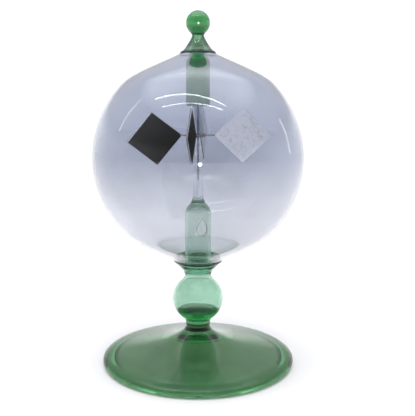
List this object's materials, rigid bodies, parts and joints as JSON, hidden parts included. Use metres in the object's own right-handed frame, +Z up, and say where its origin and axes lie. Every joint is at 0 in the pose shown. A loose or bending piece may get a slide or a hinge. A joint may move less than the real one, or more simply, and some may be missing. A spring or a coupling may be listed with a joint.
{
  "type": "light-mill radiometer",
  "caption": "Glass bulb on a flared green glass foot, in which a cross of black and silver vanes turns on a needle when light falls on it.",
  "frame": {"origin": "centre of the ring on the underside of the foot that the radiometer stands on", "axes": "+Z up along the glass stem, the line that the rotor turns about; -Y towards the viewer, with the bright side of the right-hand vane and the black side of the left-hand vane facing the viewer"},
  "size_m": [0.12, 0.12, 0.2025],
  "materials": {
    "clear_glass": "clear blown glass with a faint lilac cast",
    "green_glass": "clear mid-green glass",
    "pale_green_glass": "thin green glass that looks pale",
    "deep_green_glass": "solid green glass that looks deep",
    "steel": "drawn steel wire",
    "foil": "crinkled bright foil",
    "lamp_black": "sooty matt black"
  },
  "bodies": {
    "glass": {"foot": "green_glass", "knop_plug": "deep_green_glass", "knop": "pale_green_glass", "seal_collar": "pale_green_glass", "lower_seal_ring": "deep_green_glass", "bulb_lower": "clear_glass", "bulb_upper": "clear_glass", "support_tube": "pale_green_glass", "needle_holder": "clear_glass", "pivot_needle": "steel", "upper_seal_ring": "deep_green_glass", "top_cone": "green_glass", "finial_ball": "deep_green_glass", "retaining_tube": "pale_green_glass"},
    "rotor": {"bearing_cup": "clear_glass", "hub_band": "steel", "arm_1": "steel", "arm_2": "steel", "arm_3": "steel", "arm_4": "steel", "vane_1_black": "lamp_black", "vane_1_foil": "foil", "vane_2_black": "lamp_black", "vane_2_foil": "foil", "vane_3_black": "lamp_black", "vane_3_foil": "foil", "vane_4_black": "lamp_black", "vane_4_foil": "foil"}
  },
  "joints": [
    {"name": "rotor_spin", "type": "hinge", "parent": "glass", "child": "rotor", "pos_m": [0, 0, 0.152], "axis": [0, 0, 1], "continuous": true}
  ]
}
